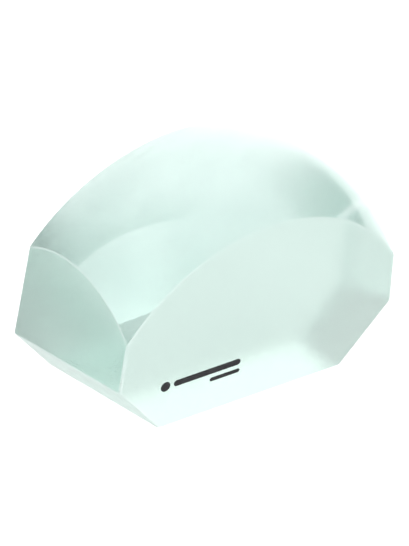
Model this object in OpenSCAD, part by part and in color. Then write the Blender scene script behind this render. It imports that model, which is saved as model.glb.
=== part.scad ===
// Low vision magnifier: one solid block of clear acrylic that stands on the page.
// A polished spherical top magnifies, and satin sides let room light fall on the print below.
// Origin: middle of the base, at base height. +X to the reader's right, +Y away from the reader, +Z up.

/* [Block] */
// Overall length, left to right, across the shoulders
block_length = 90; // [80:0.5:100]
// Length of the base, left to right, at the middle of its depth
base_length = 62.7; // [50:0.1:75]
// Depth of the base, front to back
base_depth = 45.5; // [38:0.5:55]
// Height of the shoulders, where the sides turn in towards the base
shoulder_height = 15; // [8:0.5:20]
// How far the front face leans out towards the reader, in degrees
front_lean = 9.7; // [0:0.1:15]
// How far the back face leans the same way, in degrees
back_lean = 10.9; // [0:0.1:15]
// How far each side face leans in above its shoulder, in degrees
side_draft = 2.5; // [0:0.1:6]
// How far each side face closes in towards the front, in degrees
side_taper = 2.2; // [0:0.1:5]
// How far each undercut below a shoulder closes in towards the front, in degrees
undercut_taper = 3.8; // [0:0.1:6]

/* [Dome] */
// Radius of the polished spherical top
dome_radius = 57; // [55:0.5:62]
// Height of the sphere's centre above the base
dome_centre_height = 8.5; // [4:0.5:14]
// How far the sphere's centre lies behind the middle of the base
dome_centre_back = 2; // [-4:0.5:6]

/* [Print] */
// Height of the printed line above the base, measured up the front face
print_height = 13.2; // [10:0.1:20]
// Distance of the printed line's right end from the middle of the face
print_inset = 4.8; // [2:0.1:20]
// Length of the long bar
long_bar_length = 21.5; // [10:0.5:26]
// Height of the long bar
long_bar_height = 1.9; // [1:0.1:3]
// Length of the short bar
short_bar_length = 9.6; // [4:0.5:15]
// Height of the short bar
short_bar_height = 1.2; // [0.6:0.1:2]
// Distance from the long bar's middle down to the short bar's middle
bar_pitch = 2.9; // [2.2:0.1:5]
// Diameter of the round mark
disc_diameter = 3; // [2:0.1:5]
// Clear space between the round mark and the long bar
disc_gap = 1.2; // [0.5:0.1:3]
// Thickness of the ink
ink_thickness = 0.1; // [0.05:0.01:0.2]

/* [Hidden] */
clear_acrylic = [0.84, 0.93, 0.90, 0.5];
black_ink = [0.06, 0.06, 0.07];
round_fn = 96;
dome_fn = 240;
dome_top = dome_centre_height + dome_radius;
cutter_size = 2 * dome_top;
undercut_angle = atan((block_length - base_length) / 2 / shoulder_height);
shoulder_mid_y = -(tan(front_lean) + tan(back_lean)) / 2 * shoulder_height;
long_bar_left = -print_inset - long_bar_length;
disc_middle = long_bar_left - disc_gap - disc_diameter / 2;

// Everything on one side of a plane through the local origin, as a box that reaches outwards.
// turn swings its face about the vertical, and tip then tilts it: up where tip is positive.
module beyond_plane(turn, tip) {
    rotate([0, 0, turn])
        rotate([0, -tip, 0])
            translate([0, -cutter_size / 2, -cutter_size / 2])
                cube(cutter_size);
}

// The base plane and the two leaning faces, as one slab that runs on to left and right.
module leaning_slab() {
    rotate([90, 0, 90])
        linear_extrude(height = cutter_size, center = true)
            polygon([
                [-base_depth / 2, 0],
                [base_depth / 2, 0],
                [base_depth / 2 - tan(back_lean) * dome_top, dome_top],
                [-base_depth / 2 - tan(front_lean) * dome_top, dome_top]
            ]);
}

// What is taken off the right end: above the shoulder, then below it.
module right_end_cuts() {
    translate([block_length / 2, shoulder_mid_y, shoulder_height])
        beyond_plane(-side_taper, side_draft);
    translate([base_length / 2, 0, 0])
        beyond_plane(-undercut_taper, -undercut_angle);
}

// The clear block, one moulded piece.
module lens_block() {
    color(clear_acrylic)
        difference() {
            intersection() {
                translate([0, dome_centre_back, dome_centre_height])
                    sphere(r = dome_radius, $fn = dome_fn);
                leaning_slab();
            }
            right_end_cuts();
            mirror([1, 0, 0]) right_end_cuts();
        }
}

// Puts flat artwork on the front face: its x to the right, its y up the face.
module on_front_face() {
    translate([0, -base_depth / 2, 0])
        rotate([90 + front_lean, 0, 0])
            linear_extrude(height = ink_thickness)
                children();
}

// A bar with round ends, from its right end leftwards.
module round_bar(length, height) {
    translate([-length + height / 2, -height / 2])
        square([length - height, height]);
    translate([-height / 2, 0]) circle(d = height, $fn = round_fn);
    translate([-length + height / 2, 0]) circle(d = height, $fn = round_fn);
}

// Plain printed marks: a dot and two bars.
module print_disc() {
    color(black_ink)
        on_front_face()
            translate([disc_middle, print_height])
                circle(d = disc_diameter, $fn = round_fn);
}

module print_bar_long() {
    color(black_ink)
        on_front_face()
            translate([-print_inset, print_height])
                round_bar(long_bar_length, long_bar_height);
}

module print_bar_short() {
    color(black_ink)
        on_front_face()
            translate([-print_inset, print_height - bar_pitch])
                round_bar(short_bar_length, short_bar_height);
}

lens_block();
print_disc();
print_bar_long();
print_bar_short();
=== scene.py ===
"""Low vision magnifier: a solid clear acrylic block, its printed marks and a plain white studio."""

import math

import bmesh
import bpy
import numpy as np
from mathutils import Matrix, Vector


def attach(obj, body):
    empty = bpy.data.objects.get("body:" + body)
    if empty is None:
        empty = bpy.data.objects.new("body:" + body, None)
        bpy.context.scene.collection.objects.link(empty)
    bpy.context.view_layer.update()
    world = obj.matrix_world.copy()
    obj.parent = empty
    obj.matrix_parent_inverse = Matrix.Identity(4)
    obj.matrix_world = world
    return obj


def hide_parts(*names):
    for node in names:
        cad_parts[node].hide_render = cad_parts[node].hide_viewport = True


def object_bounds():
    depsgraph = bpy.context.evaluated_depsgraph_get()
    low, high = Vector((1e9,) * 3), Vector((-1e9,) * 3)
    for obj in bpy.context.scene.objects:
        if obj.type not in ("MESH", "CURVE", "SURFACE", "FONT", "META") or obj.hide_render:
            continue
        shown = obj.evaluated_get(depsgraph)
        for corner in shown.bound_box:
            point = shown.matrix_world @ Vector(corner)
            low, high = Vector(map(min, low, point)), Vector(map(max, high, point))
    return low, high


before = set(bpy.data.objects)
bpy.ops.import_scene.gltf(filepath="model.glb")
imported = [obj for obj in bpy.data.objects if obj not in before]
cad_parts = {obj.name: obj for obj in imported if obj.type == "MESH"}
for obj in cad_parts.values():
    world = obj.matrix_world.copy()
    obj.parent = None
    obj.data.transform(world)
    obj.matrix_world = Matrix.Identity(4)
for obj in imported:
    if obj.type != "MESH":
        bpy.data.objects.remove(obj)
cad_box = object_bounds()

# ---- The rounded edges, in metres, and the steps that curves are built in ----
EDGE_RADIUS = 0.0007
STEPS_ACROSS = 6
STEPS_LONG_ARC = 96
STEPS_SHORT_ARC = 40

# ---- Camera, in degrees, millimetres and metres ----
AZIMUTH = 36.28
ELEVATION = 28.22
ROLL = 0.32
LENS_MM = 593.4
SENSOR_MM = 36.0
CAMERA_DISTANCE = 2.3686
AIM = Vector((0.0012, -0.0007, 0.0266))


# ---- The block's geometry, read from the CAD node ----

LEAST_FLAT_AREA = 1e-4
SAME_DIRECTION = 0.99999
SAME_PLACE = 1e-5
FACES_DOWN = -0.9
FACES_ALONG_Y = 0.9
LEANS_DOWN = -0.4
LEAST_TURN = 1e-9
MERGE_WITHIN = 1e-6
CUT_WITHIN = 1e-7


def flat_planes(mesh):
    """The outward normal and offset of each flat face of the mesh, where a face is many coplanar triangles."""
    normals = np.array([p.normal for p in mesh.polygons], float)
    centres = np.array([p.center for p in mesh.polygons], float)
    areas = np.array([p.area for p in mesh.polygons])
    planes = []
    while True:
        largest = areas.argmax()
        normal = normals[largest]
        offset = centres[largest] @ normal
        coplanar = abs(centres @ normal - offset) < SAME_PLACE
        same = (normals @ normal > SAME_DIRECTION) & coplanar & (areas > 0)
        if areas[same].sum() < LEAST_FLAT_AREA:
            return planes
        planes.append((normal, offset))
        areas[same] = 0


def dome_of(mesh, planes):
    """Centre and radius of the spherical top, by least squares through the vertices that lie on no flat face."""
    co = np.array([v.co for v in mesh.vertices], float)
    inside = np.all([co @ normal < offset - SAME_PLACE for normal, offset in planes], axis=0)
    points = co[inside]
    left = np.column_stack([2 * points, np.ones(len(points))])
    answer = np.linalg.lstsq(left, (points ** 2).sum(axis=1), rcond=None)[0]
    centre = answer[:3]
    return centre, math.sqrt(answer[3] + centre @ centre)


def name_planes(planes):
    """The flat faces by name, told apart by the way each one faces."""
    named = {}
    for normal, offset in planes:
        x, y, z = normal
        side = "right" if x > 0 else "left"
        if z < FACES_DOWN:
            name = "base"
        elif abs(y) > FACES_ALONG_Y:
            name = "front" if y < 0 else "back"
        else:
            name = "under_" + side if z < LEANS_DOWN else side
        named[name] = (normal, offset)
    return named


RING = ("base", "under_right", "right", "dome", "left", "under_left")
PLATES = ("front", "back")


class RoundedBlock:
    """The block with its edges and corners rounded, as if a ball of that radius had rolled along inside it.

    The ball's centre stays inside a core: the same faces, all moved in by the radius. Each face of the block is
    a core face moved out again, each edge sweeps an arc about a core edge, and each corner is part of a ball.
    Only the base's own edges are crisp: the block is built further down than its base, then milled flat there."""

    def __init__(self, planes, centre, radius, rounding):
        down, self.base_offset = planes["base"]
        self.planes = planes | {"base": (down, self.base_offset + 2 * rounding)}
        self.centre = centre
        self.core_radius = radius - rounding
        self.rounding = rounding
        self.corners = {(p, i): self.corner(p, i) for p in PLATES for i in range(len(RING))}
        self.bm = bmesh.new()
        self.normal_layer = self.bm.verts.layers.float_vector.new("face_normal")

    def normal(self, face, point):
        """The outward direction of a face at a point of the core. A flat face has the same one everywhere."""
        if face == "dome":
            return (point - self.centre) / np.linalg.norm(point - self.centre)
        return self.planes[face][0]

    def corner(self, plate, i):
        """The core point where a plate meets one face of the ring and the next."""
        faces = [plate, RING[i], RING[(i + 1) % len(RING)]]
        flat = [self.planes[f] for f in faces if f != "dome"]
        normals = np.array([n for n, d in flat])
        offsets = np.array([d - self.rounding for n, d in flat])
        if len(flat) == 3:
            return np.linalg.solve(normals, offsets)
        along = np.cross(normals[0], normals[1])
        along /= np.linalg.norm(along) * math.copysign(1, along[2])
        start = np.linalg.lstsq(normals, offsets, rcond=None)[0]
        away = start - self.centre
        middle = -away @ along
        reach = math.sqrt(middle ** 2 - away @ away + self.core_radius ** 2)
        return start + along * (middle + reach)

    def edge(self, face_a, face_b, start, end, steps):
        """Points along the core edge between two faces: a straight line, or an arc at the dome."""
        if "dome" not in (face_a, face_b):
            return [start, end]
        normal, offset = self.planes[face_a if face_b == "dome" else face_b]
        height = offset - self.rounding - normal @ self.centre
        middle = self.centre + normal * height
        a, b = start - middle, end - middle
        radius = np.linalg.norm(a)
        across = b - a * (a @ b) / radius ** 2
        across *= radius / np.linalg.norm(across)
        sweep = math.acos(np.clip(a @ b / radius ** 2, -1, 1))
        angles = np.linspace(0, sweep, steps + 1)
        return [middle + a * math.cos(t) + across * math.sin(t) for t in angles]

    def plate_edge(self, plate, i):
        """The edge between a plate and ring face i, from its corner with the face before to the one after."""
        start, end = self.corners[plate, (i - 1) % len(RING)], self.corners[plate, i]
        return self.edge(plate, RING[i], start, end, STEPS_LONG_ARC)

    def ring_edge(self, i):
        """The edge between ring face i and the next, from front to back."""
        i %= len(RING)
        start, end = self.corners["front", i], self.corners["back", i]
        return self.edge(RING[i], RING[(i + 1) % len(RING)], start, end, STEPS_SHORT_ARC)

    def vert(self, point, normal):
        """A vertex of the surface, where the ball about a core point touches it. It keeps its exact normal."""
        v = self.bm.verts.new(point + normal * self.rounding)
        v[self.normal_layer] = normal
        return v

    def grid(self, rows, material):
        """Faces between rows of (point, normal), each row as long as the one before."""
        made = [[self.vert(p, n) for p, n in row] for row in rows]
        for low, high in zip(made, made[1:]):
            for j in range(len(low) - 1):
                corners = (low[j], low[j + 1], high[j + 1], high[j])
                self.bm.faces.new(corners).material_index = material

    def round_edge(self, face_a, face_b, points, material):
        """The rounded strip between two faces, along the points of their core edge."""
        rows = []
        for p in points:
            a, b = self.normal(face_a, p), self.normal(face_b, p)
            rows.append([(p, turn(a, b, t / STEPS_ACROSS)) for t in range(STEPS_ACROSS + 1)])
        self.grid(rows, material)

    def round_corner(self, faces, point, material):
        """The part of a ball between three face directions, as rows that shorten towards the third."""
        a, b, c = (self.normal(f, point) for f in faces)
        rows = []
        for k in range(STEPS_ACROSS + 1):
            left, right = turn(a, c, k / STEPS_ACROSS), turn(b, c, k / STEPS_ACROSS)
            count = STEPS_ACROSS - k
            shares = [i / max(count, 1) for i in range(count + 1)]
            rows.append([self.vert(point, turn(left, right, share)) for share in shares])
        for low, high in zip(rows, rows[1:]):
            for i in range(len(high)):
                self.bm.faces.new((low[i], low[i + 1], high[i])).material_index = material
                if i + 1 < len(high):
                    self.bm.faces.new((low[i + 1], high[i + 1], high[i])).material_index = material

    def flat_face(self, face, loop, material):
        """One polygon inside the loop of core points."""
        normal = self.normal(face, None)
        self.bm.faces.new([self.vert(p, normal) for p in loop]).material_index = material

    def dome_face(self, material):
        """The spherical top: directions blended between its four arcs, then put on the sphere."""
        top = RING.index("dome")
        arcs = (self.plate_edge("front", top), self.plate_edge("back", top),
                self.ring_edge(top - 1), self.ring_edge(top))
        front, back, first, last = (np.array([self.normal("dome", p) for p in arc]) for arc in arcs)
        rows = []
        for j in range(STEPS_SHORT_ARC + 1):
            t = j / STEPS_SHORT_ARC
            row = []
            for i in range(STEPS_LONG_ARC + 1):
                s = i / STEPS_LONG_ARC
                front_end = (1 - s) * front[0] + s * front[-1]
                back_end = (1 - s) * back[0] + s * back[-1]
                ends = (1 - t) * front_end + t * back_end
                blend = (1 - t) * front[i] + t * back[i] + (1 - s) * first[j] + s * last[j] - ends
                normal = blend / np.linalg.norm(blend)
                row.append((self.centre + normal * self.core_radius, normal))
            rows.append(row)
        self.grid(rows, material)

    def mill_base(self, material):
        """Cuts the block off at the true base, and closes it with one flat face."""
        normal = self.planes["base"][0]
        everything = self.bm.verts[:] + self.bm.edges[:] + self.bm.faces[:]
        cut = bmesh.ops.bisect_plane(self.bm, geom=everything, dist=CUT_WITHIN, clear_outer=True,
                                     plane_co=normal * self.base_offset, plane_no=normal)
        rim = [item for item in cut["geom_cut"] if isinstance(item, bmesh.types.BMEdge)]
        base = bmesh.ops.edgeloop_fill(self.bm, edges=rim)["faces"][0]
        base.material_index = material
        return base

    def build(self, name, material_of):
        """The whole block as one closed mesh. material_of says which material a face, edge or corner has."""
        count = len(RING)
        for i, face in enumerate(RING):
            after = RING[(i + 1) % count]
            self.round_edge(face, after, self.ring_edge(i), material_of(face, after))
            for plate in PLATES:
                self.round_edge(plate, face, self.plate_edge(plate, i), material_of(plate, face))
                faces = (plate, face, after)
                self.round_corner(faces, self.corners[plate, i], material_of(*faces))
            if face == "dome":
                self.dome_face(material_of(face))
            else:
                front, back = self.plate_edge("front", i), self.plate_edge("back", i)
                before_edge, after_edge = self.ring_edge(i - 1), self.ring_edge(i)
                loop = front[:-1] + after_edge[:-1] + back[:0:-1] + before_edge[:0:-1]
                self.flat_face(face, loop, material_of(face))
        for plate in PLATES:
            loop = [p for i in range(count) for p in self.plate_edge(plate, i)[:-1]]
            self.flat_face(plate, loop, material_of(plate))
        bmesh.ops.remove_doubles(self.bm, verts=self.bm.verts, dist=MERGE_WITHIN)
        base = self.mill_base(material_of("base"))
        bmesh.ops.recalc_face_normals(self.bm, faces=self.bm.faces)
        self.bm.faces.index_update()
        base_index = base.index
        mesh = bpy.data.meshes.new(name)
        self.bm.to_mesh(mesh)
        self.bm.free()
        self.set_normals(mesh, base_index)
        return mesh

    def set_normals(self, mesh, base_index):
        """Gives the mesh the exact normals that its vertices carry, and the base its own at its crisp edges."""
        mesh.polygons.foreach_set("use_smooth", [True] * len(mesh.polygons))
        at_vertex = [tuple(v.vector) for v in mesh.attributes["face_normal"].data]
        normals = [at_vertex[loop.vertex_index] for loop in mesh.loops]
        for i in mesh.polygons[base_index].loop_indices:
            normals[i] = tuple(self.planes["base"][0])
        mesh.attributes.remove(mesh.attributes["face_normal"])
        mesh.normals_split_custom_set(normals)


def turn(a, b, t):
    """The direction a share t of the way from a to b, at an even rate."""
    angle = math.acos(np.clip(a @ b, -1, 1))
    if angle < LEAST_TURN:
        return a
    return (a * math.sin((1 - t) * angle) + b * math.sin(t * angle)) / math.sin(angle)


def new_object(name, data):
    """An object in the scene, at the origin."""
    made = bpy.data.objects.new(name, data)
    bpy.context.scene.collection.objects.link(made)
    return made


# ---- Materials. Noise scales are in cells per metre, and heights are in metres ----

# The block's material slots, in order: the dome and base, the walls and undercuts, the rounded edges.
POLISHED, SATIN, GROUND = 0, 1, 2
NOISE_SPAN = (0.3, 0.7)
PATCH_DETAIL = 4
BUMP_DETAIL = 2
IOR_ACRYLIC = 1.49
TINT = (0.9, 0.951, 0.938, 1)
TINT_DENSITY = 42
POLISHED_ROUGHNESS = (0.0, 0.03)
SATIN_ROUGHNESS = (0.28, 0.36)
GROUND_ROUGHNESS = (0.45, 0.6)
ROUGHNESS_PATCHES = 160
CLEAR = (1, 1, 1, 1)
# The satin walls' colour is painted shade: darker and grey-green, like a shaded backdrop seen through them.
SATIN_PAINTED_SHADE = (0.63, 0.7, 0.67, 1)
GROUND_WHITE = (0.93, 0.96, 0.95, 1)
GROUND_CLEAR_SHARE = 0.85
POLISHED_BUMPS = [(90, 0.000004)]
SATIN_BUMPS = [(2600, 0.000012), (500, 0.000006)]
INK_THICK = (0.006, 0.006, 0.007, 1)
INK_THIN = (0.022, 0.023, 0.025, 1)
INK_COVER_PATCHES = 900
INK_ROUGHNESS = (0.42, 0.6)
INK_ROUGHNESS_PATCHES = 2400
INK_SPECULAR_LEVEL = 0.15
INK_BUMPS = [(4200, 0.00001)]


def new_material(name):
    """A material with its nodes and links."""
    mat = bpy.data.materials.new(name)
    mat.use_nodes = True
    return mat, mat.node_tree.nodes, mat.node_tree.links


def noise(mat, scale, detail=3.0):
    """A noise value over the object."""
    nodes, links = mat.node_tree.nodes, mat.node_tree.links
    place = nodes.new("ShaderNodeTexCoord")
    texture = nodes.new("ShaderNodeTexNoise")
    texture.inputs["Scale"].default_value = scale
    texture.inputs["Detail"].default_value = detail
    links.new(place.outputs["Object"], texture.inputs["Vector"])
    return texture.outputs[0]


def map_range(nodes, links, value, ends):
    """A Map Range node on a value, from the first two ends to the last two."""
    node = nodes.new("ShaderNodeMapRange")
    links.new(value, node.inputs["Value"])
    for key, number in zip(("From Min", "From Max", "To Min", "To Max"), ends):
        node.inputs[key].default_value = number
    return node


def spread(mat, value, low, high):
    """Takes a noise value from its usual span to low and high."""
    return map_range(mat.node_tree.nodes, mat.node_tree.links, value, (*NOISE_SPAN, low, high)).outputs[0]


def bumps(mat, layers):
    """Layers of fine bump one on another, each of (noise scale, height), into a normal."""
    nodes, links = mat.node_tree.nodes, mat.node_tree.links
    below = None
    for scale, height in layers:
        bump = nodes.new("ShaderNodeBump")
        bump.inputs["Strength"].default_value = 1
        bump.inputs["Distance"].default_value = height
        links.new(noise(mat, scale, BUMP_DETAIL), bump.inputs["Height"])
        if below:
            links.new(below, bump.inputs["Normal"])
        below = bump.outputs[0]
    return below


def acrylic(name, passes, clear_share, roughness, layers):
    """Clear acrylic that tints light by its depth. Its finish is a span of roughness and layers of fine bump."""
    mat, nodes, links = new_material(name)
    shader = nodes["Principled BSDF"]
    shader.inputs["Base Color"].default_value = passes
    shader.inputs["Transmission Weight"].default_value = clear_share
    shader.inputs["IOR"].default_value = IOR_ACRYLIC
    patches = noise(mat, ROUGHNESS_PATCHES, PATCH_DETAIL)
    links.new(spread(mat, patches, *roughness), shader.inputs["Roughness"])
    links.new(bumps(mat, layers), shader.inputs["Normal"])
    absorb = nodes.new("ShaderNodeVolumeAbsorption")
    absorb.inputs["Color"].default_value = TINT
    absorb.inputs["Density"].default_value = TINT_DENSITY
    links.new(absorb.outputs[0], nodes["Material Output"].inputs["Volume"])
    return mat


def ink(name):
    """Screen-printed black: a matt film with a fine grain and uneven cover."""
    mat, nodes, links = new_material(name)
    shader = nodes["Principled BSDF"]
    cover = nodes.new("ShaderNodeMix")
    cover.data_type = "RGBA"
    cover.inputs["A"].default_value = INK_THICK
    cover.inputs["B"].default_value = INK_THIN
    links.new(spread(mat, noise(mat, INK_COVER_PATCHES, PATCH_DETAIL), 0, 1), cover.inputs["Factor"])
    links.new(cover.outputs["Result"], shader.inputs["Base Color"])
    links.new(spread(mat, noise(mat, INK_ROUGHNESS_PATCHES), *INK_ROUGHNESS), shader.inputs["Roughness"])
    shader.inputs["Specular IOR Level"].default_value = INK_SPECULAR_LEVEL
    links.new(bumps(mat, INK_BUMPS), shader.inputs["Normal"])
    return mat


# ---- The pieces ----

def finish_of(*faces):
    """The dome and the base are polished, the other faces are satin, and the rounded edges are ground."""
    if len(faces) > 1:
        return GROUND
    return POLISHED if faces[0] in ("dome", "base") else SATIN


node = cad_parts["lens_block"]
planes = flat_planes(node.data)
centre, radius = dome_of(node.data, planes)
rounded = RoundedBlock(name_planes(planes), centre, radius, EDGE_RADIUS)
block = new_object("lens_block_rounded", rounded.build("lens_block_rounded", finish_of))
for material in (
    acrylic("acrylic_polished", CLEAR, 1, POLISHED_ROUGHNESS, POLISHED_BUMPS),
    # The satin walls let through a darker grey-green colour, which is painted shade.
    acrylic("acrylic_satin_painted_shade", SATIN_PAINTED_SHADE, 1, SATIN_ROUGHNESS, SATIN_BUMPS),
    acrylic("acrylic_ground", GROUND_WHITE, GROUND_CLEAR_SHARE, GROUND_ROUGHNESS, SATIN_BUMPS),
):
    block.data.materials.append(material)
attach(block, "root")
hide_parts("lens_block")

black = ink("black_ink")
for name in ("print_disc", "print_bar_long", "print_bar_short"):
    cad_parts[name].data.materials.clear()
    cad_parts[name].data.materials.append(black)

# ---- Camera and floor ----

FLOOR_HALF_SIZE = 3.0
FLOOR_GAP = 0.0002
FLOOR_GLOW = 1.04
FLOOR_ALBEDO = (0.25, 0.25, 0.25, 1)
FLOOR_ROUGHNESS = 0.9
WHITE = (1, 1, 1, 1)


def look_from(azimuth, elevation, roll, aim, distance):
    """The place and turn of something that looks at aim. Azimuth 0 looks along +Y, from the front."""
    az, el = math.radians(azimuth), math.radians(elevation)
    back = Vector((-math.sin(az) * math.cos(el), -math.cos(az) * math.cos(el), math.sin(el)))
    turned = back.to_track_quat("Z", "Y").to_matrix().to_4x4() @ Matrix.Rotation(math.radians(roll), 4, "Z")
    return Matrix.Translation(aim + back * distance) @ turned


def floor_material():
    """A plain white table lit from below."""
    mat, nodes, links = new_material("white_floor")
    shader = nodes["Principled BSDF"]
    shader.inputs["Base Color"].default_value = FLOOR_ALBEDO
    shader.inputs["Roughness"].default_value = FLOOR_ROUGHNESS
    shader.inputs["Emission Color"].default_value = WHITE
    shader.inputs["Emission Strength"].default_value = FLOOR_GLOW
    return mat


def floor_mesh():
    """A square just below the base."""
    corners = ((-1, -1), (1, -1), (1, 1), (-1, 1))
    height = cad_box[0][2] - FLOOR_GAP
    mesh = bpy.data.meshes.new("floor")
    points = [(x * FLOOR_HALF_SIZE, y * FLOOR_HALF_SIZE, height) for x, y in corners]
    mesh.from_pydata(points, [], [(0, 1, 2, 3)])
    return mesh


camera = new_object("camera", bpy.data.cameras.new("camera"))
camera.data.lens = LENS_MM
camera.data.sensor_width = SENSOR_MM
camera.matrix_world = look_from(AZIMUTH, ELEVATION, ROLL, AIM, CAMERA_DISTANCE)
bpy.context.scene.camera = camera

floor = new_object("floor", floor_mesh())
floor.data.materials.append(floor_material())

# ---- Lights: soft areas of the world ----
# Each area is placed by its height and its turn, in degrees. Turn 0 is the camera's side of the block, and a turn
# grows towards the right of the picture. DIM is what lights the rest of the world.

DIM = 0.1
HORIZON = {"strength": 1.75, "full_below": 22, "gone_above": 45}
HORIZON_GAPS = [
    {"turn": -105, "start": 53, "full": 18, "keep": 0.4},
    {"turn": 120, "start": 48, "full": 18, "keep": 0.12},
]
LOW_BAND = {
    "strength": 1.2,
    "full_below": 6,
    "gone_above": 14,
    "turn": -135,
    "gone_cosine": 0.6,
    "full_cosine": 0.9,
}
# The large light whose straight edge shows as a pale arc on the dome. The edge lies on the upright plane through
# the block that is square to the camera's view. The light is on the camera's side of that plane, to the left.
SIDE_BOX = {
    "strength": 2.9,
    "half_edge": 0.02,
    "left_turn": -90,
    "gone_cosine": -0.05,
    "full_cosine": 0.5,
    "gone_below": 12,
    "full_above": 32,
}
KEY_BOX = {"strength": 1.6, "turn": 26, "elevation": 45, "full_within": 22, "gone_beyond": 58}
REAR_BOX = {"strength": 1.3, "turn": 178, "elevation": 57, "full_within": 10, "gone_beyond": 34}


def sine(degrees):
    return math.sin(math.radians(degrees))


def direction(turn, elevation):
    """A unit vector, by its turn from the camera's side towards the picture's right, and its height."""
    az, el = math.radians(turn - AZIMUTH), math.radians(elevation)
    return math.sin(az) * math.cos(el), -math.cos(az) * math.cos(el), math.sin(el)


class Studio:
    """World light made of soft areas, by the way that a ray goes."""

    def __init__(self, name):
        self.world = bpy.data.worlds.new(name)
        self.world.use_nodes = True
        self.nodes, self.links = self.world.node_tree.nodes, self.world.node_tree.links
        self.ray = self.nodes.new("ShaderNodeTexCoord").outputs["Generated"]
        self.up = self.towards(0, 90)

    def towards(self, turn, elevation):
        """The cosine between a ray and a direction."""
        dot = self.nodes.new("ShaderNodeVectorMath")
        dot.operation = "DOT_PRODUCT"
        self.links.new(self.ray, dot.inputs[0])
        dot.inputs[1].default_value = direction(turn, elevation)
        return dot.outputs["Value"]

    def ramp(self, value, start, end, low=0.0, high=1.0):
        """Smoothly from low at start to high at end."""
        node = map_range(self.nodes, self.links, value, (start, end, low, high))
        node.interpolation_type = "SMOOTHSTEP"
        return node.outputs[0]

    def combine(self, operation, *values):
        """All the values added or multiplied, as the operation says."""
        total = values[0]
        for value in values[1:]:
            node = self.nodes.new("ShaderNodeMath")
            node.operation = operation
            self.links.new(total, node.inputs[0])
            self.links.new(value, node.inputs[1])
            total = node.outputs[0]
        return total

    def horizon(self, strength, full_below, gone_above):
        """Light all round, up to some height, and DIM above that. It falls off in the gaps."""
        band = self.ramp(self.up, sine(gone_above), sine(full_below), DIM, strength)
        for gap in HORIZON_GAPS:
            middle = self.towards(gap["turn"], 0)
            start, full = sine(90 - gap["start"]), sine(90 - gap["full"])
            band = self.combine("MULTIPLY", band, self.ramp(middle, start, full, 1, gap["keep"]))
        return band

    def low_band(self, strength, full_below, gone_above, turn, gone_cosine, full_cosine):
        """More light on part of the horizon, close to the table."""
        band = self.ramp(self.up, sine(gone_above), sine(full_below), 0, strength)
        return self.combine("MULTIPLY", band, self.ramp(self.towards(turn, 0), gone_cosine, full_cosine))

    def side_box(self, strength, half_edge, left_turn, gone_cosine, full_cosine, gone_below, full_above):
        """A large high light to one side, with one straight, nearly sharp edge."""
        return self.combine(
            "MULTIPLY",
            self.ramp(self.towards(0, 0), -half_edge, half_edge),
            self.ramp(self.towards(left_turn, 0), gone_cosine, full_cosine, 0, strength),
            self.ramp(self.up, sine(gone_below), sine(full_above)),
        )

    def round_box(self, strength, turn, elevation, full_within, gone_beyond):
        """A soft round light, from full near its middle to nothing further out."""
        middle = self.towards(turn, elevation)
        return self.ramp(middle, sine(90 - gone_beyond), sine(90 - full_within), 0, strength)

    def light(self, *areas):
        """Lights the world with the sum of the areas."""
        self.links.new(self.combine("ADD", *areas), self.nodes["Background"].inputs["Strength"])
        self.nodes["Background"].inputs["Color"].default_value = WHITE
        bpy.context.scene.world = self.world


studio = Studio("studio")
studio.light(
    studio.horizon(**HORIZON),
    studio.low_band(**LOW_BAND),
    studio.side_box(**SIDE_BOX),
    studio.round_box(**KEY_BOX),
    studio.round_box(**REAR_BOX),
)

# ---- Scene settings ----

# Light meets many faces before it leaves the block. The denoiser is given the picture alone, because its albedo
# and normal passes are noisy in clear matter.
CLEAR_BOUNCES = 48
DIFFUSE_BOUNCES = 12

scene = bpy.context.scene
scene.view_settings.view_transform = "Standard"
scene.cycles.denoising_input_passes = "RGB"
scene.cycles.max_bounces = CLEAR_BOUNCES
scene.cycles.diffuse_bounces = DIFFUSE_BOUNCES
scene.cycles.glossy_bounces = CLEAR_BOUNCES
scene.cycles.transmission_bounces = CLEAR_BOUNCES
